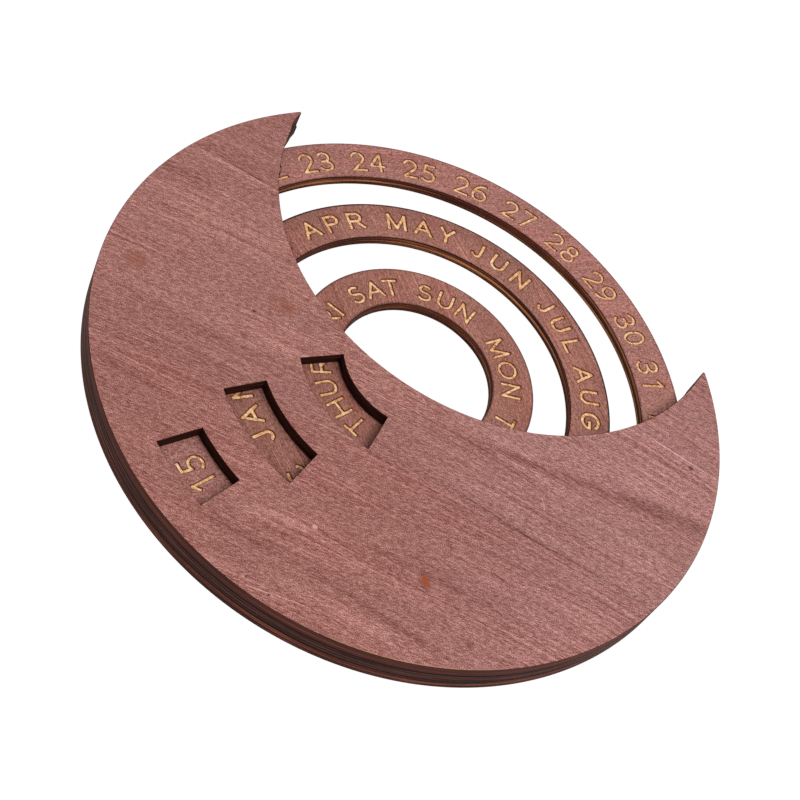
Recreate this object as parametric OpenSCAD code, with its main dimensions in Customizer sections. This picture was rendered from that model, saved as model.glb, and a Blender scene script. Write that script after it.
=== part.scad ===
// Perpetual desk calendar in three sheets of plywood. Three rings, for the date,
// the month and the weekday, turn in the middle sheet between two crescent plates.
// The front plate has a window over each ring, and the round opening of the crescent
// bares the rings, so that a finger can turn them.
//
// Millimetres. Z = 0 is the back face and +Z is up, out of the front face. The origin
// is on the rings' common axis, and +Y runs from it to the windows.

/* [Body] */
// Outside diameter of the plates
body_d = 160; // [140:1:200]
// Thickness of the back plate's sheet
back_t = 3; // [2:0.5:6]
// Thickness of the middle sheet, which the rings are cut from
middle_t = 3; // [2:0.5:6]
// Thickness of the front plate's sheet
front_t = 3; // [2:0.5:6]
// Width of the wall between the date ring and the outside
rim_w = 8.2; // [5:0.1:12]

/* [Opening] */
// Diameter of the round opening
opening_d = 124; // [110:0.5:140]
// Width of the hub, from the weekday ring's bore to the opening
hub_w = 11.4; // [6:0.1:14]
// Angle of the opening's centre, clockwise from the windows
opening_turn = 154; // [130:1:180]

/* [Rings] */
// Width of the date ring's band
date_w = 11.4; // [9:0.1:13]
// Width of the month ring's band
month_w = 10.8; // [9:0.1:13]
// Width of the weekday ring's band
weekday_w = 10.9; // [9:0.1:13]
// Width of the fixed guide between the date and month rings
outer_guide_w = 8.2; // [6:0.1:10]
// Width of the fixed guide between the month and weekday rings
inner_guide_w = 9.3; // [6:0.1:11]

/* [Clearances] */
// Gap between a ring and the guide or rim beside it
ring_gap = 0.3; // [0.1:0.05:0.6]
// Gap between a ring and the plate above or below it
ring_play = 0.1; // [0.05:0.05:0.4]

/* [Windows] */
// Angle of the date window's left side from the window line
date_left = 7.8; // [5:0.1:10]
// Angle of the date window's right side from the window line
date_right = 6.3; // [5:0.1:10]
// Angle of the month window's left side from the window line
month_left = 15.1; // [12:0.1:18]
// Angle of the month window's right side from the window line
month_right = 15.5; // [12:0.1:18]
// Lean of both the month window's sides, anticlockwise from radial
month_lean = 3.7; // [0:0.1:6]
// Angle of the weekday window's left side from the window line
weekday_left = 27.6; // [20:0.1:32]
// Angle of the weekday window's right side from the window line
weekday_right = 27.3; // [20:0.1:32]
// Lean of the weekday window's right side, anticlockwise from radial
weekday_lean = 9.6; // [0:0.1:12]

/* [Hidden] */
$fn = 180;

// Heights of the sheets' joints
middle_z = back_t;
front_z = back_t + middle_t;

// Radii, from the outside in
body_r = body_d / 2;
date_outer_r = body_r - rim_w - ring_gap;
date_inner_r = date_outer_r - date_w;
outer_guide_outer_r = date_inner_r - ring_gap;
outer_guide_inner_r = outer_guide_outer_r - outer_guide_w;
month_outer_r = outer_guide_inner_r - ring_gap;
month_inner_r = month_outer_r - month_w;
inner_guide_outer_r = month_inner_r - ring_gap;
inner_guide_inner_r = inner_guide_outer_r - inner_guide_w;
weekday_outer_r = inner_guide_inner_r - ring_gap;
weekday_inner_r = weekday_outer_r - weekday_w;
hub_r = weekday_inner_r - ring_gap;

// Centre of the round opening, whose near edge leaves the hub its width
opening_offset = opening_d / 2 - (hub_r - hub_w);
opening_x = opening_offset * sin(opening_turn);
opening_y = opening_offset * cos(opening_turn);

// How far a cut runs past the faces that it goes through
cut = 1;
// How far a window's sides run each way from its middle, in widths of its ring
side_reach = 1.2;

sheet_colour = [0.55, 0.35, 0.31];
back_colour = [0.45, 0.28, 0.24];
guide_colour = [0.33, 0.19, 0.15];
ring_colour = [0.48, 0.29, 0.24];

// A flat ring standing on Z = 0
module band(inner_r, outer_r, thick) {
    difference() {
        cylinder(h = thick, r = outer_r);
        translate([0, 0, -cut]) cylinder(h = thick + 2 * cut, r = inner_r);
    }
}

// The tool that cuts the round opening through a sheet on Z = 0
module opening_cut(thick) {
    translate([opening_x, opening_y, -cut])
        cylinder(h = thick + 2 * cut, d = opening_d);
}

// A point at a radius, at an angle anticlockwise from the window line
function at(radius, angle) = [-radius * sin(angle), radius * cos(angle)];

// The tool that cuts a window as wide as its ring. Each side crosses the middle of
// the ring at its own angle from the window line, and leans from radial.
module window_cut(inner_r, outer_r, left, right, left_lean, right_lean) {
    mid_r = (inner_r + outer_r) / 2;
    reach = side_reach * (outer_r - inner_r);
    left_step = at(reach, left + left_lean);
    right_step = at(reach, right_lean - right);
    intersection() {
        translate([0, 0, -cut]) band(inner_r, outer_r, front_t + 2 * cut);
        translate([0, 0, -cut]) linear_extrude(front_t + 2 * cut) polygon([
            at(mid_r, left) - left_step,
            at(mid_r, left) + left_step,
            at(mid_r, -right) + right_step,
            at(mid_r, -right) - right_step]);
    }
}

module front_plate() {
    color(sheet_colour) translate([0, 0, front_z]) difference() {
        cylinder(h = front_t, r = body_r);
        opening_cut(front_t);
        window_cut(date_inner_r, date_outer_r, date_left, date_right, 0, 0);
        window_cut(month_inner_r, month_outer_r, month_left, month_right, month_lean, month_lean);
        window_cut(weekday_inner_r, weekday_outer_r, weekday_left, weekday_right, 0, weekday_lean);
    }
}

module back_plate() {
    color(back_colour) difference() {
        cylinder(h = back_t, r = body_r);
        opening_cut(back_t);
    }
}

// A fixed piece of the middle sheet: a band cut off at the opening
module guide(inner_r, outer_r) {
    color(guide_colour) translate([0, 0, middle_z]) difference() {
        band(inner_r, outer_r, middle_t);
        opening_cut(middle_t);
    }
}

module outer_rim() {
    guide(date_outer_r + ring_gap, body_r);
}

module outer_guide() {
    guide(outer_guide_inner_r, outer_guide_outer_r);
}

module inner_guide() {
    guide(inner_guide_inner_r, inner_guide_outer_r);
}

module hub() {
    color(guide_colour) translate([0, 0, middle_z]) difference() {
        cylinder(h = middle_t, r = hub_r);
        opening_cut(middle_t);
    }
}

// A ring that turns in the middle sheet, with play above and below
module ring(inner_r, outer_r) {
    color(ring_colour) translate([0, 0, middle_z + ring_play])
        band(inner_r, outer_r, middle_t - 2 * ring_play);
}

module date_ring() {
    ring(date_inner_r, date_outer_r);
}

module month_ring() {
    ring(month_inner_r, month_outer_r);
}

module weekday_ring() {
    ring(weekday_inner_r, weekday_outer_r);
}

front_plate();
outer_rim();
outer_guide();
inner_guide();
hub();
back_plate();
date_ring();
month_ring();
weekday_ring();
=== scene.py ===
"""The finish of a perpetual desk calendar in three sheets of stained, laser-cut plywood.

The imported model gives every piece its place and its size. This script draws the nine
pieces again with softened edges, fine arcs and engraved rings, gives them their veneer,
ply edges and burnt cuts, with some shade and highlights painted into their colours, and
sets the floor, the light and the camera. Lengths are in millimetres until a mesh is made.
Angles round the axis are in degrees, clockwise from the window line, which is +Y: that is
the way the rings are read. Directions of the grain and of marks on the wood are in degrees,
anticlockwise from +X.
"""

import math

import bmesh
import bpy
from mathutils import Matrix, Vector
from mathutils.geometry import delaunay_2d_cdt


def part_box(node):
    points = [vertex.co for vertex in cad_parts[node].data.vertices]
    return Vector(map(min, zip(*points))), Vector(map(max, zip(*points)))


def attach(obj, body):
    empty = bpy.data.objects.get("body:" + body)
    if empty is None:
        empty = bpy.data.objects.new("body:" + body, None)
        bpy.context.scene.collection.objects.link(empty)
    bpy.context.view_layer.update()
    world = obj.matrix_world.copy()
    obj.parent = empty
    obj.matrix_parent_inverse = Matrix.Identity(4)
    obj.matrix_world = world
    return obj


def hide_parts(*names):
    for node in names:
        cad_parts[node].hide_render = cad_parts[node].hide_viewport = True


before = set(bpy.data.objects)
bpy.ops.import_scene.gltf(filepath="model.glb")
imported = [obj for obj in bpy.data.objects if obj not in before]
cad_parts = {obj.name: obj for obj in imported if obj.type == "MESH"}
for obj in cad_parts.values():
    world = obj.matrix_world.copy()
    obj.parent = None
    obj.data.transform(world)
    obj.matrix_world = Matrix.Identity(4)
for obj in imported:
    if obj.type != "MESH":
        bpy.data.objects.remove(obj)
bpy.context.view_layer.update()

MM = 0.001

# ---- sizes

# The round opening of the crescent, and the hub that it leaves
OPENING_D = 124
OPENING_TURN = 154
HUB_W = 11.4

# Window sides: the angle where each crosses the middle of its ring, and its lean
# anticlockwise from radial
WINDOWS = {
    "date_ring": ((-7.8, 0), (6.3, 0)),
    "month_ring": ((-15.1, 3.7), (15.5, 3.7)),
    "weekday_ring": ((-27.6, 0), (27.3, 9.6)),
}

# Longest straight step along a round edge, and the least steps round a tip and along the
# opening's broken edge
STEP = 0.7
TIP_STEPS = 5
BROKEN_STEPS = 40
# Softening of a cut edge: the loose rings are handled more than the plates
PLATE_EDGE = 0.12
RING_EDGE = 0.14
# and of the edge underneath, which the cut left sharp
UNDER_EDGE = 0.04
# Radius that the crescents' sharp tips are worn to
TIP_R = 0.35
# The opening's edge is broken near one tip: how far it stands out, at places along it from
# the tip. The front sheet is chipped there, the middle one is splintered, and the back one
# a little.
CHIPPED = ((0.6, 0), (1.1, -0.14), (2, -0.33), (3.4, -0.43), (5, -0.42), (6, -0.3), (7.6, 0))
SPLINTERED = ((0.9, 0), (1.5, 0.1), (2, 0.62), (2.5, 0.45), (2.9, 0.5), (3.5, 0.36),
              (4.3, 0.18), (5.5, 0))
ROUGH = ((0.9, 0), (2.5, 0.1), (5, 0))
# How far a piece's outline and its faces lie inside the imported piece
OUTLINE_INSET = 0.02
FACE_INSET = 0.005
# Points nearer than this become one, and edges that turn further than this are sharp
WELD = 0.001
SHARP_ANGLE = 28

# Engraving: its depth, how far its walls lean in, and the depth of the lip round it, which is
# coloured with burn and painted shade
GROOVE_DEPTH = 0.27
GROOVE_TAPER = 0.05
LIP_DEPTH = 0.09


def radii(node):
    """The inner and the outer radius of a piece round the rings' axis."""
    distances = [v.co.xy.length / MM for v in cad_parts[node].data.vertices]
    return round(min(distances), 2) + OUTLINE_INSET, round(max(distances), 2) - OUTLINE_INSET


def heights(node):
    """The heights of a piece's underside and top."""
    low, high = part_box(node)
    return low.z / MM + FACE_INSET, high.z / MM - FACE_INSET


BODY_R = radii("front_plate")[1]
HUB_R = radii("hub")[1]
OPENING_R = OPENING_D / 2 + OUTLINE_INSET
OPENING_OFFSET = OPENING_D / 2 - (HUB_R + OUTLINE_INSET - HUB_W)


# ---- outlines

def at(radius, clock):
    """The point at a radius and at an angle clockwise from the window line."""
    turn = math.radians(clock)
    return Vector((radius * math.sin(turn), radius * math.cos(turn)))


def arc(radius, start, end, centre=Vector((0, 0)), least=2):
    """Points along an arc between two clockwise angles, both ends included."""
    steps = max(least, math.ceil(math.radians(abs(end - start)) * radius / STEP))
    return [centre + at(radius, start + (end - start) * i / steps) for i in range(steps + 1)]


def circle(radius):
    return arc(radius, 0, 360)[:-1]


OPENING_CENTRE = at(OPENING_OFFSET, OPENING_TURN)


def crossing(radius, tip=0):
    """Where a circle on the axis meets the opening, by its angle from the opening's
    direction at the axis and at the opening's centre. With a tip, it is where the centre
    of the tip's rounding lies."""
    from_axis, from_opening = radius - tip, OPENING_R + tip
    share = (from_axis**2 + OPENING_OFFSET**2 - from_opening**2) / (2 * from_axis * OPENING_OFFSET)
    seen = math.acos(share)
    across = math.atan2(from_axis * math.sin(seen), from_axis * share - OPENING_OFFSET)
    return math.degrees(seen), math.degrees(across)


def between(steps, place):
    """The value at a place on a run of straight steps, and 0 off its ends."""
    for (start, low), (end, high) in zip(steps, steps[1:]):
        if start <= place < end:
            return low + (high - low) * (place - start) / (end - start)
    return 0


def opening_edge(start, end, broken=()):
    """Points along the opening's edge, by angles at its centre from its direction. broken
    is how far its beginning stands out, at places along it."""
    if not broken:
        return arc(OPENING_R, OPENING_TURN + start, OPENING_TURN + end, OPENING_CENTRE)
    mended = start + math.copysign(math.degrees(broken[-1][0] / OPENING_R), end - start)
    run = arc(OPENING_R, OPENING_TURN + start, OPENING_TURN + mended, OPENING_CENTRE, BROKEN_STEPS)
    tip = run[0].copy()
    for point in run:
        out = between(broken, (point - tip).length)
        point += (OPENING_CENTRE - point).normalized() * out
    return run[:-1] + opening_edge(mended, end)


def join(*runs):
    """One closed outline from runs of points, each without its last point."""
    return [p for run in runs for p in run[:-1]]


def outside_run(radius, tip):
    """The runs of a crescent's outline round its outside: the rim, and with a tip radius
    the rounding of both its tips."""
    seen, across = crossing(radius, tip)
    rim = arc(radius, OPENING_TURN + seen, OPENING_TURN + 360 - seen)
    if not tip:
        return [rim]
    first = arc(tip, OPENING_TURN + across - 180, OPENING_TURN + seen,
                at(radius - tip, OPENING_TURN + seen), TIP_STEPS)
    last = arc(tip, OPENING_TURN - seen, OPENING_TURN - across + 180,
               at(radius - tip, OPENING_TURN - seen), TIP_STEPS)
    return [first, rim, last]


def cut_disc(radius, tip=0, broken=()):
    """A disc on the axis with the opening cut away: a crescent, or the hub."""
    across = crossing(radius, tip)[1]
    return join(*outside_run(radius, tip), opening_edge(360 - across, across, broken))


def cut_band(inner, outer, tip=0, broken=()):
    """A band on the axis that ends at the opening."""
    across = crossing(outer, tip)[1]
    inner_seen, inner_across = crossing(inner)
    return join(
        *outside_run(outer, tip),
        opening_edge(360 - across, 360 - inner_across, broken),
        arc(inner, OPENING_TURN + 360 - inner_seen, OPENING_TURN + inner_seen),
        opening_edge(inner_across, across))


def side_point(middle, radius, clock, lean):
    """Where a window's side, which crosses the ring's middle at an angle and leans
    from radial, meets the circle of another radius."""
    along = middle * math.cos(math.radians(lean))
    run = -along + math.sqrt(along**2 - middle**2 + radius**2)
    return at(middle, clock) + at(run, clock - lean)


def clock_of(point):
    """A point's angle clockwise from the window line."""
    return math.degrees(math.atan2(point.x, point.y))


def window(ring):
    """The outline of the window over a ring."""
    inner, outer = radii(ring)
    middle = (inner + outer) / 2
    left_out, right_out, left_in, right_in = (
        clock_of(side_point(middle, radius, clock, lean))
        for radius in (outer, inner) for clock, lean in WINDOWS[ring])
    return arc(outer, left_out, right_out) + arc(inner, right_in, left_in)


def area(loop):
    """The area inside an outline, negative where it runs clockwise."""
    return sum(a.cross(b) for a, b in zip(loop, loop[1:] + loop[:1])) / 2


# Holds the mitre of a very sharp corner
LEAST_MITRE = 0.2


def grown(loop, distance):
    """A closed outline moved out by a distance, or in by a negative one, mitred at its
    corners. Out is away from the area that the outline goes round."""
    turn = 1 if area(loop) > 0 else -1
    moved = []
    for before, point, after in zip(loop[-1:] + loop[:-1], loop, loop[1:] + loop[:1]):
        a = (point - before).normalized()
        b = (after - point).normalized()
        normal_a = Vector((a.y, -a.x)) * turn
        normal_b = Vector((b.y, -b.x)) * turn
        mitre = (normal_a + normal_b) / max(1 + normal_a.dot(normal_b), LEAST_MITRE)
        moved.append(point + mitre * distance)
    return moved


# ---- meshes

# Places in a piece's list of materials: a plate has the window walls third, and a ring
# has the engraving's burn and painted shade, and its floor
FACE, EDGE, WINDOW = range(3)
BURN_AND_SHADE, FLOOR = 2, 3


# What delaunay_2d_cdt gives: only the triangles inside the outlines. Points within the
# distance are one to it.
INSIDE_ONLY = 1
SAME_POINT = 1e-6


def triangles_inside(loops):
    """The area inside the outlines: its points, and its triangles, each with the numbers
    of the outlines that it lies in."""
    points, faces = [], []
    for loop in loops:
        ordered = loop if area(loop) > 0 else loop[::-1]
        faces.append(list(range(len(points), len(points) + len(ordered))))
        points += ordered
    points, _, triangles, _, _, owners = delaunay_2d_cdt(
        points, [], faces, INSIDE_ONLY, SAME_POINT)
    return points, list(zip(triangles, owners))


def add_object(name, data):
    """A new object in the scene."""
    obj = bpy.data.objects.new(name, data)
    bpy.context.scene.collection.objects.link(obj)
    return obj


class Solid:
    """A mesh put together from flat caps and the walls between outlines."""

    def __init__(self):
        self.mesh = bmesh.new()

    def face(self, points, material):
        verts = [self.mesh.verts.new(Vector(p) * MM) for p in points]
        self.mesh.faces.new(verts).material_index = material

    def cap(self, loops, z, material):
        """Fills the area that lies inside an odd number of the outlines."""
        points, triangles = triangles_inside(loops)
        for triangle, owners in triangles:
            if len(owners) % 2:
                self.face([(*points[i], z) for i in triangle], material)

    def wall(self, loop_a, z_a, loop_b, z_b, material):
        """A strip between two outlines with as many points."""
        for i in range(len(loop_a)):
            a, b = loop_a[i - 1], loop_a[i]
            c, d = loop_b[i], loop_b[i - 1]
            self.face([(*a, z_a), (*b, z_a), (*c, z_b), (*d, z_b)], material)

    def piece(self, name, materials):
        """Makes the object, with its round walls smooth and its edges sharp."""
        bmesh.ops.remove_doubles(self.mesh, verts=self.mesh.verts, dist=WELD * MM)
        bmesh.ops.dissolve_degenerate(self.mesh, edges=self.mesh.edges, dist=WELD * MM)
        bmesh.ops.recalc_face_normals(self.mesh, faces=self.mesh.faces)
        for face in self.mesh.faces:
            face.smooth = True
        data = bpy.data.meshes.new(name)
        self.mesh.to_mesh(data)
        self.mesh.free()
        data.set_sharp_from_angle(angle=math.radians(SHARP_ANGLE))
        for material in materials:
            data.materials.append(material)
        return add_object(name, data)


def sheet_solid(outline, holes, bottom, top, edge, hole_wall=EDGE, groove_lips=()):
    """A flat piece with softened edges. hole_wall is the material round its holes, and
    groove_lips are left open in its top."""
    solid = Solid()
    outlines = [(outline, -1, EDGE)] + [(hole, 1, hole_wall) for hole in holes]
    under, over = ([grown(loop, side * width) for loop, side, _ in outlines]
                   for width in (UNDER_EDGE, edge))
    solid.cap(under, bottom, FACE)
    solid.cap(over + list(groove_lips), top, FACE)
    for (loop, _, material), low, high in zip(outlines, under, over):
        solid.wall(low, bottom, loop, bottom + UNDER_EDGE, material)
        solid.wall(loop, bottom + UNDER_EDGE, loop, top - edge, material)
        solid.wall(loop, top - edge, high, top, material)
    return solid


# ---- lettering

# Degrees that a stroke's bend turns in a step, and the cosines of a turn below which it is
# a corner, and below which either way it is square
BEND_STEP = 12
CORNER_COSINE = 0.8
SQUARE_COSINE = 0.1
# Least step along a sign's outline, in heights
LEAST_STEP = 0.012


def bend(x, y, rx, ry, start, end):
    """Points along part of an ellipse, by angles anticlockwise from the right."""
    steps = max(3, round(abs(end - start) / BEND_STEP))
    turns = [math.radians(start + (end - start) * i / steps) for i in range(steps + 1)]
    return [(x + rx * math.cos(t), y + ry * math.sin(t)) for t in turns]


def turned(strokes, width):
    """Strokes turned half round inside a sign of that width."""
    return [[(width - x, 1 - y) for x, y in stroke] for stroke in strokes]


def post(x):
    """An upright stroke."""
    return [(x, 0), (x, 1)]


# Each sign is its width and the centre lines of its strokes. The unit is the height
# between the centre lines of its top and its foot.
SIX = [bend(0.31, 0.31, 0.31, 0.31, 90, 450), bend(0.52, 0.33, 0.52, 0.66, 180, 92)]
BOWL = [post(0), [(0, 1), (0.48, 1)], [(0, 0.46), (0.48, 0.46)],
        bend(0.48, 0.73, 0.28, 0.27, 90, -90)]
SIGNS = {
    "0": (0.62, [bend(0.31, 0.5, 0.31, 0.5, 90, 450)]),
    "1": (0.62, [[(0.12, 0.8), (0.37, 1)], [(0.37, 1), (0.37, 0)]]),
    "2": (0.62, [bend(0.3, 0.71, 0.29, 0.29, 165, -40) + [(0.02, 0), (0.62, 0)]]),
    "3": (0.62, [bend(0.27, 0.76, 0.26, 0.24, 150, -90), [(0.16, 0.52), (0.27, 0.52)],
                 bend(0.27, 0.26, 0.31, 0.26, 90, -155)]),
    "4": (0.68, [[(0.47, 1), (0.02, 0.3), (0.68, 0.3)], [(0.5, 1), (0.5, 0)]]),
    "5": (0.62, [[(0.52, 1), (0.13, 1), (0.09, 0.56)], bend(0.24, 0.3, 0.32, 0.3, 118, -140)]),
    "6": (0.62, SIX),
    "7": (0.6, [[(0.02, 1), (0.58, 1), (0.18, 0)]]),
    "8": (0.62, [bend(0.3, 0.765, 0.235, 0.235, 90, 450), bend(0.3, 0.27, 0.3, 0.27, 90, 450)]),
    "9": (0.62, turned(SIX, 0.62)),
    "A": (0.93, [[(0, 0), (0.465, 1), (0.93, 0)], [(0.16, 0.33), (0.77, 0.33)]]),
    "B": (0.7, [post(0), [(0, 1), (0.38, 1)], [(0, 0.53), (0.4, 0.53)],
                [(0, 0), (0.42, 0)], bend(0.38, 0.765, 0.24, 0.235, 90, -90),
                bend(0.42, 0.265, 0.28, 0.265, 90, -90)]),
    "C": (0.93, [bend(0.52, 0.5, 0.52, 0.5, 48, 312)]),
    "D": (0.86, [post(0), [(0, 1), (0.32, 1)], [(0, 0), (0.32, 0)],
                 bend(0.32, 0.5, 0.54, 0.5, 90, -90)]),
    "E": (0.66, [post(0), [(0, 1), (0.64, 1)], [(0, 0.52), (0.6, 0.52)], [(0, 0), (0.66, 0)]]),
    "F": (0.62, [post(0), [(0, 1), (0.62, 1)], [(0, 0.52), (0.56, 0.52)]]),
    "G": (0.99, [bend(0.5, 0.5, 0.5, 0.5, 42, 322),
                 [(0.9, 0.19), (0.97, 0.28), (0.97, 0.46), (0.58, 0.46)]]),
    "H": (0.84, [post(0), post(0.84), [(0, 0.52), (0.84, 0.52)]]),
    "I": (0, [post(0)]),
    "J": (0.52, [[(0.52, 1), (0.52, 0.27)] + bend(0.265, 0.27, 0.255, 0.27, -15, -150)]),
    "L": (0.66, [[(0, 1), (0, 0), (0.66, 0)]]),
    "M": (1.0, [post(0), post(1), [(0, 1), (0.5, 0.06), (1, 1)]]),
    "N": (0.79, [post(0), post(0.79), [(0, 1), (0.79, 0)]]),
    "O": (1.04, [bend(0.52, 0.5, 0.52, 0.5, 90, 450)]),
    "P": (0.76, BOWL),
    "R": (0.85, BOWL + [[(0.42, 0.46), (0.85, 0)]]),
    "S": (0.78, [bend(0.41, 0.755, 0.3, 0.245, 40, 232)
                 + bend(0.38, 0.265, 0.36, 0.265, 52, -148)]),
    "T": (0.73, [[(0, 1), (0.73, 1)], [(0.365, 1), (0.365, 0)]]),
    "U": (0.79, [[(0, 1), (0, 0.39)] + bend(0.395, 0.39, 0.395, 0.39, 195, 345)
                 + [(0.79, 0.39), (0.79, 1)]]),
    "V": (0.9, [[(0, 1), (0.45, 0), (0.9, 1)]]),
    "W": (1.28, [[(0, 1), (0.32, 0), (0.64, 0.98), (0.96, 0), (1.28, 1)]]),
    "Y": (0.78, [[(0, 1), (0.39, 0.45), (0.78, 1)], [(0.39, 0.45), (0.39, 0)]]),
}

# Clear space that a sign asks for beside a straight, round, open, sloping or hanging side,
# with the signs that have that side on their left and on their right. The ring's own
# spacing is added to it.
SPACES = {1.32: ("BDEFHILMNPRTU", "GHIJMNTU"), 1.15: ("CGOS", "BDOS"), 0.95: ("JY", "CEFPY"),
          0.85: ("AVW", "ARVW"), 0.35: ("", "L")}
LEFT, RIGHT = 0, 1
# Pairs that are drawn together, and by how much, or pushed apart
TUCKED = {"AT": 0.8, "UR": -0.35}

# The words of each ring, and how they are set: the height, the width of the stroke and of
# the lip beside it, which is coloured with burn and painted shade, the radius of the words'
# middle, the change to the signs' clear space or one even step from sign to sign, and the
# angle where a word's left end is seen in the photograph.
RINGS = {
    "date_ring": dict(
        words=[str(day) for day in range(1, 32)], height=5.66, stroke=0.78, lip=0.15, radius=65.55,
        even_step=5.27, ends={"1": 213.83, "15": -5.48, "23": 98.42, "31": 200.59}),
    "month_ring": dict(
        words="JAN FEB MAR APR MAY JUN JUL AUG SEP OCT NOV DEC".split(),
        height=4.38, stroke=0.87, lip=0.22, radius=46.0, spacing=0.03,
        ends={"JAN": -2.1, "APR": 86.5, "MAY": 117.3, "JUN": 146.85, "JUL": 175.5,
              "AUG": 201.8, "DEC": 325.7}),
    "weekday_ring": dict(
        words="MON TUES WED THUR FRI SAT SUN".split(),
        height=4.4, stroke=0.76, lip=0.21, radius=24.65, spacing=-0.54,
        ends={"MON": 181.8, "TUES": 236.0, "THUR": -19.9, "SAT": 82.9, "SUN": 127.6,
              "FRI": 44.9}),
}


def meets_square(a, b):
    """True where two directions meet square."""
    return abs(a.dot(b)) < SQUARE_COSINE


def stroke_shapes(stroke, half):
    """The outlines that a stroke covers: one strip for each smooth run of its centre
    line, and a disc where it turns a sharp corner that isn't square. A closed stroke has
    two outlines. Also says whether the stroke is closed."""
    points = [Vector(p) for p in stroke]
    closed = (points[0] - points[-1]).length < SAME_POINT
    steps = [(b - a).normalized() for a, b in zip(points, points[1:])]
    corners = [i for i in range(1, len(steps)) if steps[i - 1].dot(steps[i]) < CORNER_COSINE]
    shapes = []
    for start, end in zip([0] + corners, corners + [len(steps)]):
        run = points[start:end + 1]
        normals = [Vector((-s.y, s.x)) for s in steps[start:end]]
        if closed:
            mean = [(normals[i - 1] + n).normalized() for i, n in enumerate(normals)]
        else:
            if start == 0 or meets_square(steps[start - 1], steps[start]):
                run[0] = run[0] - steps[start] * half
            if end == len(steps) or meets_square(steps[end - 1], steps[end]):
                run[-1] = run[-1] + steps[end - 1] * half
            inner = [(a + b) / (1 + a.dot(b)) for a, b in zip(normals, normals[1:])]
            mean = [normals[0], *inner, normals[-1]]
        left = [p + n * half for p, n in zip(run, mean)]
        right = [p - n * half for p, n in zip(run, mean)]
        shapes += [left, right] if closed else [left + right[::-1]]
    for i in corners:
        if not meets_square(steps[i - 1], steps[i]):
            shapes.append([points[i] + Vector(p) for p in bend(0, 0, half, half, 0, 360)[:-1]])
    return shapes, closed


def outline_loops(shapes_and_closed):
    """The closed outlines of all the shapes together. The two outlines of a closed
    stroke cover only what lies between them."""
    shapes, strokes = [], []
    for covering, closed in shapes_and_closed:
        strokes.append((range(len(shapes), len(shapes) + len(covering)), closed))
        shapes += covering
    found, triangles = triangles_inside(shapes)
    edges = {}
    for triangle, owners in triangles:
        counts = [sum(owner in numbers for owner in owners) for numbers, _ in strokes]
        covered = [count == 1 if closed else count > 0
                   for count, (_, closed) in zip(counts, strokes)]
        if any(covered):
            for a, b in zip(triangle, triangle[1:] + triangle[:1]):
                if edges.pop((b, a), None) is None:
                    edges[(a, b)] = True
    return [without_slivers(loop) for loop in chains(edges, found)]


def without_slivers(loop):
    """The outline without the points that lie closer together than the least step."""
    kept = []
    for point in loop:
        if not kept or (point - kept[-1]).length > LEAST_STEP:
            kept.append(point)
    while (kept[0] - kept[-1]).length < LEAST_STEP:
        kept.pop()
    return kept


def chains(edges, found):
    """Closed chains of points from directed edges."""
    after = {}
    for a, b in edges:
        after.setdefault(a, []).append(b)
    loops = []
    while after:
        start = point = next(iter(after))
        loop = []
        while not loop or point != start:
            loop.append(found[point])
            following = after[point].pop()
            if not after[point]:
                del after[point]
            point = following
        loops.append(loop)
    return loops


def sign_loops(sign, stroke):
    """The outlines of a sign, from its centre, in heights."""
    width, strokes = SIGNS[sign]
    centre = Vector((width / 2, 0.5))
    loops = outline_loops([stroke_shapes(s, stroke / 2) for s in strokes])
    return [[p - centre for p in loop] for loop in loops]


def clear_space(sign, side):
    return next(space for space, signs in SPACES.items() if sign in signs[side])


def word_steps(word, ring):
    """The distance from a word's left end to the middle of each sign, and its length."""
    height, stroke = ring["height"], ring["stroke"]
    if "even_step" in ring:
        cell = SIGNS["0"][0] * height + stroke
        middles = [cell / 2 + ring["even_step"] * i for i in range(len(word))]
        return middles, middles[-1] + cell / 2
    middles, run = [], 0
    for i, sign in enumerate(word):
        width = SIGNS[sign][0] * height + stroke
        if i:
            before = word[i - 1]
            run += clear_space(before, RIGHT) + clear_space(sign, LEFT) + 2 * ring["spacing"]
            run -= TUCKED.get(before + sign, 0)
        middles.append(run + width / 2)
        run += width
    return middles, run


def word_ends(ring):
    """The angle of each word's left end. Between words whose places are seen, the
    others are set with even gaps."""
    words, radius = ring["words"], ring["radius"]
    lengths = [math.degrees(word_steps(word, ring)[1] / radius) for word in words]
    seen = [i for i, word in enumerate(words) if word in ring["ends"]]
    ends = {}
    for start, stop in zip(seen, seen[1:] + seen[:1]):
        span = (ring["ends"][words[stop]] - ring["ends"][words[start]]) % 360
        count = (stop - start) % len(words)
        run = [(start + i) % len(words) for i in range(count)]
        gap = (span - sum(lengths[i] for i in run)) / count
        angle = ring["ends"][words[start]]
        for i in run:
            ends[i] = angle
            angle += lengths[i] + gap
    return [ends[i] for i in range(len(words))]


def ring_grooves(ring):
    """The outlines of all the signs on a ring, in place."""
    height, radius = ring["height"], ring["radius"]
    shapes = {sign: sign_loops(sign, ring["stroke"] / height)
              for sign in sorted(set("".join(ring["words"])))}
    grooves = []
    for word, end in zip(ring["words"], word_ends(ring)):
        for sign, middle in zip(word, word_steps(word, ring)[0]):
            clock = end + math.degrees(middle / radius)
            up, right = at(1, clock), at(1, clock + 90)
            grooves += [[at(radius, clock) + (right * p.x + up * p.y) * height for p in loop]
                        for loop in shapes[sign]]
    return grooves


# ---- shader helpers

def srgb(red, green, blue):
    """A colour as it looks on screen, from 0 to 255, as a linear colour."""
    def linear(value):
        value /= 255
        return value / 12.92 if value <= 0.04045 else ((value + 0.055) / 1.055) ** 2.4
    return (linear(red), linear(green), linear(blue), 1)


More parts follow.
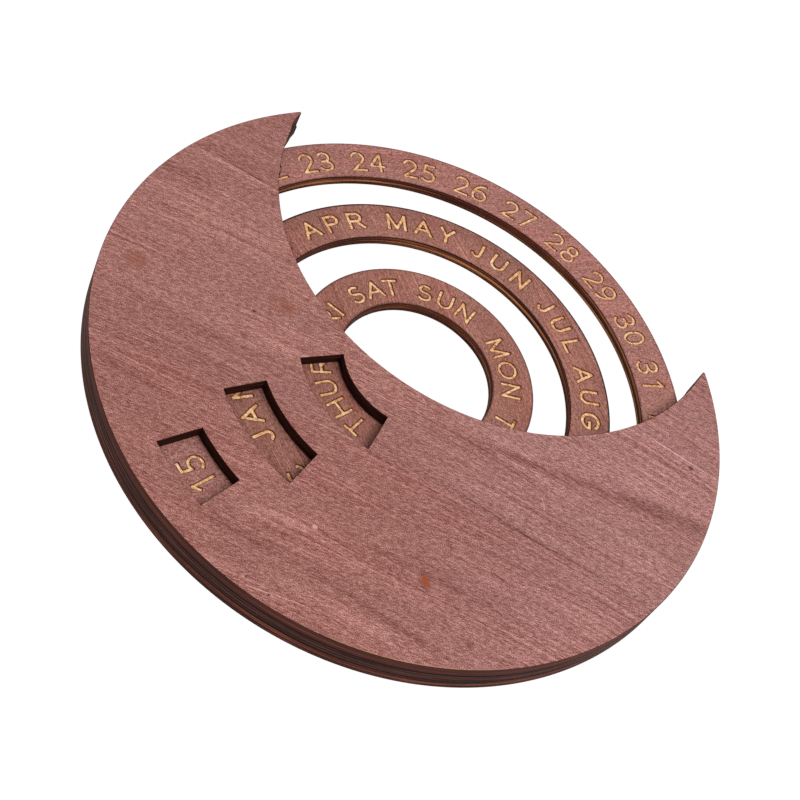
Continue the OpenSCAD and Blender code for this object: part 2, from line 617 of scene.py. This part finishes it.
class Shader:
    """A material's nodes, added and linked one call at a time."""

    def __init__(self, name):
        self.material = bpy.data.materials.new(name)
        self.material.use_nodes = True
        self.tree = self.material.node_tree
        self.tree.nodes.clear()
        coordinates = self.add("TexCoord")
        self.where = self.vector("MULTIPLY", coordinates.outputs["Object"], (1 / MM,) * 3)
        self.normal = coordinates.outputs["Normal"]

    def add(self, kind, inputs=(), **settings):
        node = self.tree.nodes.new("ShaderNode" + kind)
        for key, value in settings.items():
            setattr(node, key, value)
        for key, value in dict(inputs).items():
            if isinstance(value, bpy.types.NodeSocket):
                self.tree.links.new(value, node.inputs[key])
            else:
                node.inputs[key].default_value = value
        return node

    def math(self, operation, a, b=0.0, c=0.0):
        return self.add("Math", {0: a, 1: b, 2: c}, operation=operation).outputs[0]

    def product(self, value, *others):
        for other in others:
            value = self.math("MULTIPLY", value, other)
        return value

    def vector(self, operation, a, b):
        return self.add("VectorMath", {0: a, 1: b}, operation=operation).outputs[0]

    def length(self, vector):
        return self.add("VectorMath", {0: vector}, operation="LENGTH").outputs["Value"]

    def swing(self, value, gain, base):
        """base, moved up and down by how far a noise is from its middle."""
        return self.math("MULTIPLY_ADD", self.math("SUBTRACT", value, 0.5), gain, base)

    def levels(self, value, low, high, to_low=0.0, to_high=1.0):
        """Maps low..high to to_low..to_high, and holds it there."""
        node = self.add("MapRange", {"Value": value, "From Min": low, "From Max": high,
                                     "To Min": to_low, "To Max": to_high},
                        interpolation_type="SMOOTHSTEP")
        return node.outputs[0]

    def ramp(self, value, places, shades):
        """Runs through shades, as they look on screen, that lie at places from 0 to 1."""
        node = self.add("ValToRGB", {"Fac": value})
        elements = node.color_ramp.elements
        while len(elements) < len(places):
            elements.new(0.5)
        for element, place, shade in zip(elements, places, shades):
            element.position = place
            element.color = srgb(*shade)
        return node.outputs["Color"]

    def mix(self, share, a, b, blend="MIX"):
        node = self.add("Mix", {0: share, 6: a, 7: b}, data_type="RGBA", blend_type=blend)
        return node.outputs[2]

    def tinted(self, colour, tint, share=1):
        """The colour multiplied by a tint, as far as a share."""
        return self.mix(share, colour, (*tint, 1), "MULTIPLY")

    def rotated(self, vector, degrees):
        """The vector in axes turned by an angle, so that X runs along that direction."""
        node = self.add("VectorRotate", {"Vector": vector, "Angle": -math.radians(degrees)},
                        rotation_type="Z_AXIS")
        return node.outputs[0]

    def reach(self, vector, axis):
        """How far a vector reaches along an axis of length 1."""
        node = self.add("VectorMath", {0: vector, 1: axis}, operation="DOT_PRODUCT")
        return node.outputs["Value"]

    def along(self, vector, degrees):
        """How far a vector reaches along a level direction."""
        turn = math.radians(degrees)
        return self.reach(vector, (math.cos(turn), math.sin(turn), 0))

    def beside(self, x, y, direction):
        """How far a place is along a line through a point, and to the left of it."""
        away = self.vector("SUBTRACT", self.where, (x, y, 0))
        return self.along(away, direction), self.along(away, direction + 90)

    def noise(self, vector, along, across, deep=None, detail=2.0, roughness=0.5):
        """Noise stretched to a length along each axis of the vector."""
        deep = across if deep is None else deep
        scaled = self.vector("MULTIPLY", vector, (1 / along, 1 / across, 1 / deep))
        node = self.add("TexNoise", {"Vector": scaled, "Scale": 1.0, "Detail": detail,
                                     "Roughness": roughness})
        return node.outputs["Fac"]

    def finish(self, colour, roughness, height=None, bump_distance=0.05, bump=0.5, specular=0.35):
        inputs = {"Base Color": colour, "Roughness": roughness, "Specular IOR Level": specular}
        if height is not None:
            inputs["Normal"] = self.add("Bump", {"Height": height, "Strength": bump,
                                                 "Distance": bump_distance * MM}).outputs[0]
        surface = self.add("BsdfPrincipled", inputs)
        self.add("OutputMaterial", {0: surface.outputs[0]})
        return self.material


# ---- the veneers' marks

# The look of one sheet's veneer. grain is its direction; the fibres bend by bow across a
# straight line, from bow_middle along the grain. Beyond a joint, given as a point and a
# direction, lies another leaf, turned by leaf_turn. fibre is the direction of the finest
# fibres, and texture scales their contrast; streak is the contrast of the longer ones, and
# tint colours the whole sheet. A zone is the wood to the right of a line, given as a point
# and a direction, with the reach of its soft edge each way and its tint. A line runs from a
# point to a point, with a width and the share that it darkens the wood by, or lightens it
# if negative. A spot is a point, a radius, a share and one of the SPOTS: its colour, its
# direction from the grain, and how much longer it is that way.
PLAIN = dict(bow=0, bow_middle=0, joint=None, leaf_turn=0, red_edge=None, zones=(),
             worn_and_highlit_rim=None, tint=(1, 1, 1), texture=1, streak=0.3, lines=(), spots=())
SPOTS = {"knot": ((160, 70, 18), 123, 1.8), "bruise": ((112, 58, 48), 123, 1.5),
         "stain": ((140, 76, 56), 0, 1.3), "dark": ((74, 38, 36), 0, 1.3),
         "pale": ((226, 190, 172), 0, 1.3)}

FRONT_LOOK = dict(
    PLAIN, grain=34, fibre=41, bow=0.0006, bow_middle=20, joint=(-59.5, -51.8, 26.5),
    leaf_turn=-4, tint=(0.925, 0.885, 0.888), streak=0.45,
    # The redder heartwood lies to the left of both these lines
    red_edge=((-13.5, 27.3, 29.4), (-13.5, 27.3, 38.5)),
    # The wood is paler beyond the first line, darker in the leaf beyond the second, and
    # fades across the third towards one horn
    zones=((-51.3, -24.8, 41, 0.3, (1.12, 1.14, 1.16)),
           (58.7, 4.6, 26.7, 0.3, (0.95, 0.915, 0.915)),
           (-25, 5, -47, 25, (1.06, 1.13, 1.2))),
    # The rim's edge is worn to bare wood and brightened with a painted highlight near this point,
    # up to this far from it
    worn_and_highlit_rim=(-62, 50, 26),
    lines=(
        (-74, -43, -48, -20.5, 4.4, 0.26), (-64, -34, -14, 11, 2.4, 0.24),
        (-76, 0, -18, 38, 3.4, 0.16), (-68, 18, -36, 39, 4.6, 0.14),
        (-68, 22, -24, 48, 2.2, 0.14), (-72, 39, -24, 62.3, 1.5, 0.26),
        (-29, 60.5, -9, 72.5, 2.4, 0.2), (13, 59.3, 36, 73.2, 2.6, 0.2),
        (18, 37.6, 52, 60.2, 3, 0.14), (62, 17, 79, 30.8, 4.6, 0.2),
        (-68, -3.5, -25, 17.5, 0.5, 0.3), (-74, -9, -34, 15, 0.45, 0.35),
        (-78, 8, -44, 24, 0.5, 0.26), (-66, -13, -30, 6, 0.4, 0.24),
        (-12, 32, 40, 70, 0.4, 0.28), (-62, 48, -24, 70, 3, -0.18),
        (-28, 49, -11, 66, 3, -0.18), (-64, -54.1, -36, -40.1, 0.36, -0.9),
        (56, 3.3, 79, 14.8, 0.3, 0.35), (57, 5.9, 79, 16.4, 1.6, -0.16),
        (-49, 56.2, -27, 75.3, 0.28, -0.45), (-37.4, 67.1, -28.3, 73.8, 0.2, -0.5),
        (-47.9, -2.1, -42, -5.2, 0.2, -0.6), (-62, -22, -38, -3, 0.3, -0.2)),
    spots=(
        (52.4, 49, 2.5, 0.5, "stain"), (26.6, 21.7, 1.7, 0.35, "stain"),
        (27.9, 23.3, 3, 0.25, "stain"), (-47.7, 35.4, 1.6, 0.45, "bruise"),
        (-47.7, 35.4, 0.8, 0.85, "knot"), (-54.3, -47.6, 0.6, 0.8, "dark"),
        (28.9, 30.5, 0.4, 0.8, "dark"), (-28.5, 71.4, 0.28, 0.85, "dark"),
        (-34.4, 69.4, 0.3, 0.8, "dark"), (-64.8, 35.5, 0.9, 0.4, "bruise"),
        (23.9, 36.9, 0.8, 0.5, "bruise"), (-42.8, 24.4, 0.8, 0.3, "bruise"),
        (-37.9, 18.4, 0.7, 0.4, "bruise"), (38.4, 13.8, 0.9, 0.4, "bruise"),
        (-25.4, 50.6, 0.5, 0.6, "pale")))
BACK_LOOK = dict(
    PLAIN, grain=44, fibre=46, bow=-0.0008, joint=(20, 62, 41), leaf_turn=6, streak=0.5,
    lines=((-50, -30, -10, 12, 4, 0.25), (10, 30, 60, 70, 3, 0.2), (-60, 20, -20, 55, 2.5, -0.2)),
    spots=((-20, 58, 1.1, 0.6, "stain"), (61, 31, 0.5, 0.7, "dark")))
# Only the splinters of the middle sheet show their face, which is tinted dark grey
MIDDLE_LOOK = dict(PLAIN, grain=50, fibre=50, tint=(0.16, 0.26, 0.27))
DATE_LOOK = dict(
    PLAIN, grain=67, fibre=67, tint=(1.05, 1.04, 1.04), texture=0.75,
    lines=((-33, -56, -30, -63, 0.3, 0.4), (-20.5, -60, -27, -66, 0.3, 0.4)))
MONTH_LOOK = dict(
    PLAIN, grain=-10, fibre=-10, joint=(45.6, -3.2, 168), leaf_turn=4,
    tint=(0.96, 0.92, 0.85), texture=0.7, streak=0.5,
    lines=((51, -4.4, 40, -2.1, 0.25, 0.8), (51, -6.2, 40, -4.2, 0.22, 0.5)),
    spots=((23.7, -37.9, 0.35, 0.9, "dark"),))
WEEKDAY_LOOK = dict(
    PLAIN, grain=-17, fibre=-17, joint=(22.3, -16.6, 166.4), leaf_turn=3,
    tint=(0.96, 0.9, 0.82), texture=0.65, streak=0.4,
    lines=((30, -18.4, 18, -15.5, 0.22, -0.6), (30, -20.2, 18, -17.3, 1.6, -0.25)))


# ---- materials

# How far the grain sways from side to side
WARP = 5
# A drawn line: how strong one of full share is, how far it sways with the bands, the shares
# of its width where it ends and is full, and its length over that of each fading end
LINE_DEPTH = 0.62
LINE_SWAY = 2
LINE_END, LINE_FULL = 0.75, 0.2
LINE_FADES = 3
# The stained wood from dark to pale, and the tints of its parts
WOOD = ((92, 44, 38), (122, 72, 64), (153, 103, 95), (184, 134, 126), (218, 170, 160))
GREYER = (0.95, 0.965, 0.94, 1)
REDDER = (1.04, 0.97, 0.95, 1)
OTHER_LEAF = (0.9, 0.88, 0.88)
SCORCH = srgb(42, 20, 16)
# The bare wood of the worn rim, which also carries its painted highlight
BARE_AND_HIGHLIT_RIM = srgb(186, 140, 100)


def grained(s, look, grain, shift):
    """Where the wood's pattern is read: in axes along the grain, which bows and sways."""
    along = s.rotated(s.where, grain)
    off = s.math("SUBTRACT", s.along(s.where, grain), look["bow_middle"])
    rise = s.product(off, off, -look["bow"])
    sway = s.product(s.math("SUBTRACT", s.noise(along, 70, 16, detail=1.5), 0.5), WARP)
    aside = s.add("CombineXYZ", {"Y": s.math("ADD", rise, sway)}).outputs[0]
    return s.vector("ADD", s.vector("ADD", along, aside), shift)


def with_lines(s, look, value, bands, ragged):
    """The wood's lightness with the look's lines drawn on it."""
    for x1, y1, x2, y2, width, share in look["lines"]:
        length = math.dist((x1, y1), (x2, y2))
        along, aside = s.beside(x1, y1, math.degrees(math.atan2(y2 - y1, x2 - x1)))
        aside = s.math("ADD", aside, s.product(s.math("SUBTRACT", bands, 0.5), LINE_SWAY))
        inside = s.levels(s.math("ABSOLUTE", aside), width * LINE_END, width * LINE_FULL)
        fade = length / LINE_FADES
        ends = s.product(s.levels(along, 0, fade), s.levels(along, length, length - fade))
        amount = s.math("MULTIPLY", s.product(inside, ends), s.levels(ragged, 0.3, 0.6, 0.45, 1))
        value = s.math("MULTIPLY_ADD", amount, -share * LINE_DEPTH, value)
    return value


def with_spots(s, look, colour, ragged):
    """The wood's colour with the look's spots on it."""
    for x, y, radius, share, kind in look["spots"]:
        shade, turn, stretch = SPOTS[kind]
        away = s.rotated(s.vector("SUBTRACT", s.where, (x, y, 0)), look["grain"] + turn)
        distance = s.length(s.vector("MULTIPLY", away, (1 / stretch, 1, 0)))
        rim = s.swing(ragged, 1.2 * radius, distance)
        amount = s.levels(rim, 1.25 * radius, 0.6 * radius, 0, share)
        colour = s.mix(amount, colour, srgb(*shade))
    return colour


def with_burns(s, burns, colour, radius, ragged):
    """The wood's colour with scorches beside round edges."""
    for edge, width, share in burns:
        off = s.math("ABSOLUTE", s.math("SUBTRACT", radius, edge))
        burn = s.levels(s.swing(ragged, 0.3, off), width, width * 0.35, 0, share)
        colour = s.mix(burn, colour, SCORCH)
    return colour


def with_worn_rim(s, look, colour, radius, ragged):
    """The wood's colour with the body's rim worn bare and lit by a painted highlight near the
    look's point.
    """
    x, y, spread = look["worn_and_highlit_rim"]
    away = s.add("VectorMath", {0: s.where, 1: (x, y, 0)}, operation="DISTANCE")
    near = s.levels(away.outputs["Value"], spread, spread * 0.5)
    rim = s.levels(s.swing(ragged, 0.9, radius), BODY_R - 0.5, BODY_R - 0.1, 0, 0.6)
    return s.mix(s.product(near, rim), colour, BARE_AND_HIGHLIT_RIM)


def veneer(name, look, shift, burns=()):
    """Stained veneer: long bands, streaks and threads along the grain, fine fibres and a
    mottled stain, with the marks of its look. A burn is the radius of a round edge that
    scorched the face, how far from it the scorch reaches, and its share."""
    s = Shader(name)
    place = grained(s, look, look["grain"], shift)
    if look["joint"]:
        beyond = s.math("LESS_THAN", s.beside(*look["joint"])[1], 0)
        other = grained(s, look, look["grain"] + look["leaf_turn"],
                        (shift[0] + 90, shift[1] - 60, 30))
        place = s.add("Mix", {0: beyond, 4: place, 5: other}, data_type="VECTOR").outputs[1]

    fibre_place = s.vector("ADD", s.rotated(s.where, look["fibre"]), shift)
    bands = s.noise(place, 150, 6, detail=3, roughness=0.6)
    streaks = s.noise(place, 60, 0.8, detail=1, roughness=0.6)
    threads = s.noise(place, 24, 0.27, detail=0)
    fibres = s.noise(fibre_place, 1.1, 0.27, detail=0)
    mottle = s.noise(s.vector("ADD", s.where, shift), 0.24, 0.2, detail=0)
    patches = s.noise(place, 38, 9, detail=2)
    contrast = s.levels(patches, 0.4, 0.6, 0.25 * look["streak"], look["streak"])

    value = s.swing(bands, 0.2, 0.5)
    value = s.swing(streaks, contrast, value)
    value = s.swing(threads, contrast, value)
    value = s.swing(fibres, 0.7 * look["texture"], value)
    value = s.swing(mottle, 1.2 * look["texture"], value)
    ragged = s.noise(place, 1.6, 0.5, detail=2, roughness=0.7)
    value = with_lines(s, look, value, bands, ragged)

    colour = s.ramp(value, (0, 0.25, 0.5, 0.75, 1), WOOD)
    hue = s.levels(patches, 0.34, 0.66)
    if look["red_edge"]:
        first, second = (s.beside(*edge)[1] for edge in look["red_edge"])
        red = s.levels(s.math("MINIMUM", first, second), -0.6, 0.6)
        hue = s.math("MULTIPLY_ADD", red, 0.5, s.math("MULTIPLY", hue, 0.5))
    for x, y, direction, soft, zone_tint in look["zones"]:
        inside = s.levels(s.beside(x, y, direction)[1], soft, -soft)
        colour = s.tinted(colour, zone_tint, inside)
    colour = s.mix(1, colour, s.mix(hue, GREYER, REDDER), "MULTIPLY")
    if look["joint"]:
        colour = s.tinted(colour, OTHER_LEAF, s.math("MULTIPLY", beyond, 0.5))
    colour = with_spots(s, look, colour, ragged)
    colour = s.tinted(colour, look["tint"])
    radius = s.length(s.vector("MULTIPLY", s.where, (1, 1, 0)))
    colour = with_burns(s, burns, colour, radius, ragged)
    if look["worn_and_highlit_rim"]:
        colour = with_worn_rim(s, look, colour, radius, ragged)
    roughness = s.levels(fibres, 0.3, 0.7, 0.7, 0.55)
    return s.finish(colour, roughness, value, bump=0.35, specular=0.2)


# The cut edge's colours from burnt to bare, whose palest shades also carry the painted orange
# highlight: outside, and in the closer, redder bores
OUTSIDE = ((20, 11, 12), (42, 26, 25), (70, 42, 36), (98, 59, 48), (156, 96, 68))
BORE = ((30, 10, 6), (50, 18, 10), (76, 32, 20), (108, 54, 32), (192, 124, 80))
# The streaks of a cut edge: their length along it and up it, and their contrast
EDGE_STREAKS = ((30, 0.3, 1.3), (9, 0.16, 0.6), (13, 3, 0.3), (0.4, 0.25, 0.4))
# Heights in a sheet, in shares of its thickness: where the core ply comes in and goes out,
# each glue line's middle, with its darkness, half its width and the reach of its soft edge,
# and where the burnt seams at the underside and the top begin and are full
CORE_IN, CORE_OUT = (0.31, 0.36), (0.68, 0.63)
GLUE_LINES = ((0.34, 0.95), (0.66, 0.8))
GLUE_HALF, GLUE_SOFT = 0.03, 0.035
SEAM_UNDER, SEAM_OVER = (0.12, 0.06), (0.89, 0.95)
GLUE_BURN = srgb(20, 10, 8)
SEAM_BURN = srgb(18, 9, 8)


def ply_edge(name, grains, painted_glows, bottom, top, shift, colours, tint=(1, 1, 1), streaks=1,
             glue=1, seams=(0.85, 0.85)):
    """The cut edge of a sheet of three plies. grains are the directions, one for the outer
    plies and one for the core, along which the edge takes a painted orange highlight, and the
    glows are how strong it is on each. streaks scales the contrast of the wood. The glue lines
    and the seams at the sheet's underside and top are burnt black, by these shares."""
    s = Shader(name)
    place = s.vector("ADD", s.where, shift)
    height = s.reach(s.where, (0, 0, 1))
    depth = s.math("DIVIDE", s.math("SUBTRACT", height, bottom), top - bottom)
    ply = s.swing(s.noise(place, 9, 9, detail=2), 0.09, depth)

    # Painted highlight of a ply: strongest where the edge faces along the direction
    def ends(direction, glow):
        facing = s.along(s.normal, direction)
        square = s.product(facing, facing)
        return s.product(square, square, glow)

    core = s.product(s.levels(ply, *CORE_IN), s.levels(ply, *CORE_OUT))
    # fibre holds the painted orange highlight, the outer plies' above and below and the core's in
    # the middle, and it raises the edge's tone
    fibre = s.add("Mix", {0: core, 2: ends(grains[0], painted_glows[0]),
                          3: ends(grains[1], painted_glows[1])}).outputs[0]
    tone = s.math("ADD", fibre, 0.41)
    for along, up, gain in EDGE_STREAKS:
        tone = s.swing(s.noise(place, along, along, up, detail=1), gain * streaks, tone)
    colour = s.tinted(s.ramp(tone, (0, 0.2, 0.4, 0.6, 0.95), colours), tint)
    uneven = s.levels(s.noise(place, 7, 7, 1.2, detail=2), 0.38, 0.58, 0.4, 1)
    for middle, darkness in GLUE_LINES:
        off = s.math("ABSOLUTE", s.math("SUBTRACT", ply, middle))
        line = s.levels(off, GLUE_HALF + GLUE_SOFT, GLUE_HALF)
        colour = s.mix(s.product(line, uneven, darkness * glue), colour, GLUE_BURN)
    seam = s.math("MAXIMUM", s.levels(depth, *SEAM_UNDER, 0, seams[0]),
                  s.levels(depth, *SEAM_OVER, 0, seams[1]))
    colour = s.mix(seam, colour, SEAM_BURN)
    return s.finish(colour, 0.75, tone, specular=0.08)


def window_wall():
    """The deep burn on the sides of the windows, made darker than the outer edges with painted
    shade.
    """
    s = Shader("window_wall")
    streak = s.noise(s.where, 6, 6, 0.3, detail=3, roughness=0.6)
    colour = s.ramp(streak, (0.3, 0.5, 0.7), ((26, 10, 8), (43, 19, 14), (76, 38, 27)))
    return s.finish(colour, 0.8, streak, bump_distance=0.04, specular=0.06)


def groove_floor():
    """Bare wood at the bottom of the engraving, with scorched streaks."""
    s = Shader("engraving_floor")
    place = s.vector("ADD", s.rotated(s.where, 20), (3, 7, 0))
    streaks = s.noise(place, 0.5, 0.2, detail=1)
    patches = s.noise(place, 1.6, 0.9, detail=2)
    value = s.swing(patches, 1.0, s.swing(streaks, 1.2, 0.5))
    colour = s.ramp(value, (0.16, 0.38, 0.56, 0.8),
                    ((140, 76, 38), (208, 144, 92), (236, 184, 134), (253, 222, 178)))
    return s.finish(colour, 0.7, value, bump_distance=0.04)


def groove_burn():
    """The scorched wall and lip of the engraving, dark enough to paint the shade at the
    engraving's edges as well.
    """
    s = Shader("engraving_burn_and_shade")
    patches = s.noise(s.vector("ADD", s.where, (11, 2, 0)), 0.6, 0.6, detail=2, roughness=0.6)
    colour = s.ramp(patches, (0.3, 0.5, 0.7), ((44, 14, 3), (92, 40, 12), (146, 80, 34)))
    return s.finish(colour, 0.6)


# ---- the pieces

WINDOW_MATERIAL = window_wall()
FLOOR_MATERIAL = groove_floor()
BURN_AND_SHADE_MATERIAL = groove_burn()


def settle(obj, body, node):
    """Hides the node that a drawn piece stands for, and puts the piece on its body."""
    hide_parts(node)
    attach(obj, body)


# How the cut edges of the three sheets differ
FRONT_CUT = dict(tint=(1.12, 0.9, 0.86), streaks=0.45, glue=0.4, seams=(0.95, 0.4))
MIDDLE_CUT = dict(tint=(0.86, 0.84, 0.9), seams=(0.9, 0.9))
BACK_CUT = dict(tint=(1.2, 0.98, 0.94), seams=(0, 0.9))
# How much painted orange highlight their outer plies and their core get
FIXED_PAINTED_GLOWS = (0.12, 0.12)


def make_fixed(node, outline, look, shift, cut, holes=()):
    """A glued piece of the body. Its core's grain runs across that of its outer plies."""
    bottom, top = heights(node)
    solid = sheet_solid(outline, holes, bottom, top, PLATE_EDGE, WINDOW)
    grains = look["grain"], look["grain"] + 90
    materials = [
        veneer(node + "_veneer", look, shift),
        ply_edge(node + "_edge", grains, FIXED_PAINTED_GLOWS, bottom, top, shift, OUTSIDE, **cut)]
    if holes:
        materials.append(WINDOW_MATERIAL)
    settle(solid.piece(node + "_finished", materials), "body", node)


def oriented_growth(loops, distance):
    """Grows what the outlines cover: holes in it shrink as it grows. An outline that
    runs clockwise goes round a hole."""
    return [grown(loop, distance if area(loop) > 0 else -distance) for loop in loops]


def finish_ring(node, body, look, core_highlight_direction, painted_glows, burns, shift):
    """A ring. Its glows are the strengths of a painted orange highlight on the edge of its
    outer plies and of its core, and the core's highlight is strongest where the edge faces along
    the direction given for it. burns are the widths and the shares of its scorches: the inner
    edge's, and one or two of the outer edge."""
    bottom, top = heights(node)
    inner, outer = radii(node)
    grooves = ring_grooves(RINGS[node])
    lips = oriented_growth(grooves, RINGS[node]["lip"])
    floors = oriented_growth(grooves, -GROOVE_TAPER)
    solid = sheet_solid(circle(outer), [circle(inner)], bottom, top, RING_EDGE, groove_lips=lips)
    # The lip and the groove's walls take the colour of burn and painted shade
    for lip, groove, floor in zip(lips, grooves, floors):
        solid.wall(lip, top, groove, top - LIP_DEPTH, BURN_AND_SHADE)
        solid.wall(groove, top - LIP_DEPTH, floor, top - GROOVE_DEPTH, BURN_AND_SHADE)
    solid.cap(floors, top - GROOVE_DEPTH, FLOOR)
    materials = [
        veneer(node + "_veneer", look, shift,
               [(edge, *burn) for edge, burn in zip((inner, outer, outer), burns)]),
        ply_edge(node + "_edge", (look["grain"], core_highlight_direction), painted_glows, bottom, top, shift, BORE),
        BURN_AND_SHADE_MATERIAL, FLOOR_MATERIAL]
    settle(solid.piece(node + "_finished", materials), body, node)


MIDDLE_SHIFT = (150, -80, 20)
make_fixed("front_plate", cut_disc(BODY_R, TIP_R, CHIPPED), FRONT_LOOK, (0, 0, 0),
           FRONT_CUT, [window(ring) for ring in WINDOWS])
make_fixed("back_plate", cut_disc(BODY_R, TIP_R, ROUGH), BACK_LOOK, (300, 90, 40),
           BACK_CUT)
for node, outline in (("outer_rim", cut_band(*radii("outer_rim"), TIP_R, SPLINTERED)),
                      ("outer_guide", cut_band(*radii("outer_guide"))),
                      ("inner_guide", cut_band(*radii("inner_guide"))),
                      ("hub", cut_disc(HUB_R))):
    make_fixed(node, outline, MIDDLE_LOOK, MIDDLE_SHIFT, MIDDLE_CUT)
finish_ring("date_ring", "date", DATE_LOOK, 157, (0.4, 0.3),
            ((0.7, 0.45), (0.7, 0.4)), (70, 210, 10))
finish_ring("month_ring", "month", MONTH_LOOK, 106, (0, 0.65),
            ((0.5, 0.4), (0.75, 1), (6, 0.16)), (-160, 60, 30))
finish_ring("weekday_ring", "weekday", WEEKDAY_LOOK, 73, (0, 0.2),
            ((0.7, 0.6), (0.7, 0.5)), (40, -230, 50))


# ---- floor, light, camera

# The paper on the floor, in metres to its sides and below the object, its grey, and its
# glow as the camera sees it, with the share of that glow
PAPER_HALF = 3.0
PAPER_DROP = 0.00002
PAPER_GREY = 0.85
PAPER_GLOW = 1.06
GLOW_SHARE = 0.93
# The world's light on the object, and its brightness behind the floor
AMBIENT = 0.62
BACKDROP = 1.0


def make_floor():
    """White paper, which takes the object's shadow."""
    corners = [(x * PAPER_HALF, y * PAPER_HALF, -PAPER_DROP)
               for x, y in ((-1, -1), (1, -1), (1, 1), (-1, 1))]
    data = bpy.data.meshes.new("floor")
    data.from_pydata(corners, [], [(0, 1, 2, 3)])
    floor = add_object("floor", data)
    s = Shader("floor_paper")
    rays = s.add("LightPath").outputs
    seen = s.math("MAXIMUM", rays["Is Camera Ray"],
                  s.math("MAXIMUM", rays["Is Glossy Ray"], rays["Is Transmission Ray"]))
    paper = s.add("BsdfDiffuse", {"Color": (PAPER_GREY,) * 3 + (1,)})
    white = s.add("Emission", {"Strength": PAPER_GLOW})
    blend = s.add("MixShader", {0: s.math("MULTIPLY", seen, GLOW_SHARE), 1: paper.outputs[0],
                                2: white.outputs[0]})
    s.add("OutputMaterial", {0: blend.outputs[0]})
    data.materials.append(s.material)


def make_world():
    """Even light from all round, and plain white behind the floor."""
    world = bpy.data.worlds.new("studio")
    bpy.context.scene.world = world
    world.use_nodes = True
    tree = world.node_tree
    tree.nodes.clear()
    rays = tree.nodes.new("ShaderNodeLightPath")
    blend = tree.nodes.new("ShaderNodeMixShader")
    tree.links.new(rays.outputs["Is Camera Ray"], blend.inputs[0])
    for socket, strength in ((1, AMBIENT), (2, BACKDROP)):
        background = tree.nodes.new("ShaderNodeBackground")
        background.inputs["Color"].default_value = (1, 1, 1, 1)
        background.inputs["Strength"].default_value = strength
        tree.links.new(background.outputs[0], blend.inputs[socket])
    output = tree.nodes.new("ShaderNodeOutputWorld")
    tree.links.new(blend.outputs[0], output.inputs[0])


def make_lamp(name, place, size, energy):
    """A round lamp that faces the object."""
    lamp = bpy.data.lights.new(name, "AREA")
    lamp.shape = "DISK"
    lamp.size = size
    lamp.energy = energy
    obj = add_object(name, lamp)
    obj.location = place
    obj.rotation_euler = (-Vector(place)).to_track_quat("-Z", "Y").to_euler()


def make_camera():
    """The photograph's view, from the fit of its round edges."""
    data = bpy.data.cameras.new("camera")
    data.sensor_width = 36
    data.lens = 74.817
    data.clip_start = 0.01
    data.clip_end = 10
    camera = add_object("camera", data)
    right = Vector((-0.56691, -0.75168, 0.33702))
    up = Vector((0.76943, -0.33704, 0.54257))
    back = right.cross(up)
    place = Vector((-121.277, 232.830, 309.166)) * MM
    camera.matrix_world = Matrix((*zip(right, up, back, place), (0, 0, 0, 1)))
    bpy.context.scene.camera = camera


make_floor()
make_world()
make_lamp("softbox", (-0.5, -0.1, 0.9), size=0.9, energy=7)
make_camera()
bpy.context.scene.view_settings.view_transform = "Standard"
